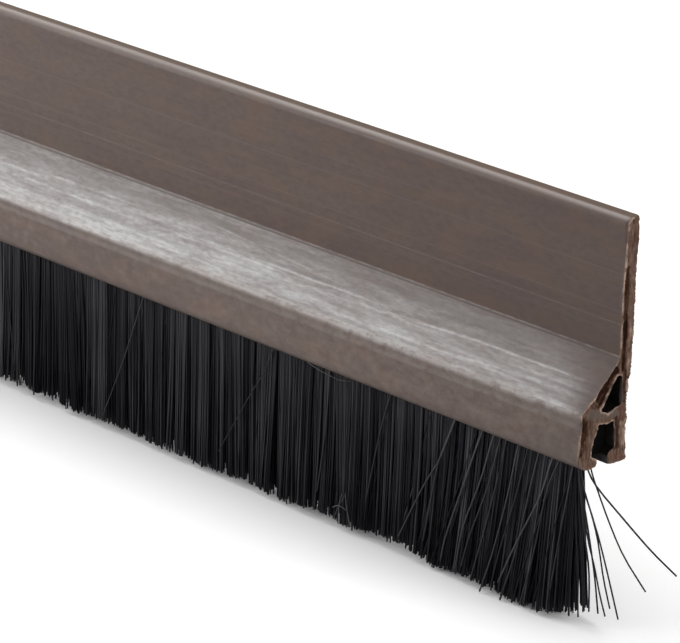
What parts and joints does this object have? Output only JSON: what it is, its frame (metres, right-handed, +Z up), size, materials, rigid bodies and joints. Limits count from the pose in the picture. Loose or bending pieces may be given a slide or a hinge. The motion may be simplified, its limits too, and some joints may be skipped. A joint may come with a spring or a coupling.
{
  "type": "door bottom brush",
  "caption": "Door bottom brush strip: a rigid extruded carrier with a self-adhesive flange, a slanted hollow hood and a lipped channel that holds a row of black bristles.",
  "frame": {"origin": "middle of the back, on the outer face of the liner over the self-adhesive tape", "axes": "+X along the strip, +Y out of the back towards the door's face, +Z up when fitted, with the bristles hanging towards -Z"},
  "size_m": [1, 0.0084, 0.0427],
  "materials": {
    "carrier": "brown rigid plastic, satin, with lengthwise scuffs",
    "spine": "black, fused",
    "bristles": "black fine filaments",
    "tape": "pale closed-cell foam",
    "liner": "coated, smooth"
  },
  "bodies": {
    "root": {"carrier_profile": "carrier", "brush_spine": "spine", "bristle_pile": "bristles", "adhesive_tape": "tape", "release_liner": "liner"}
  },
  "joints": []
}
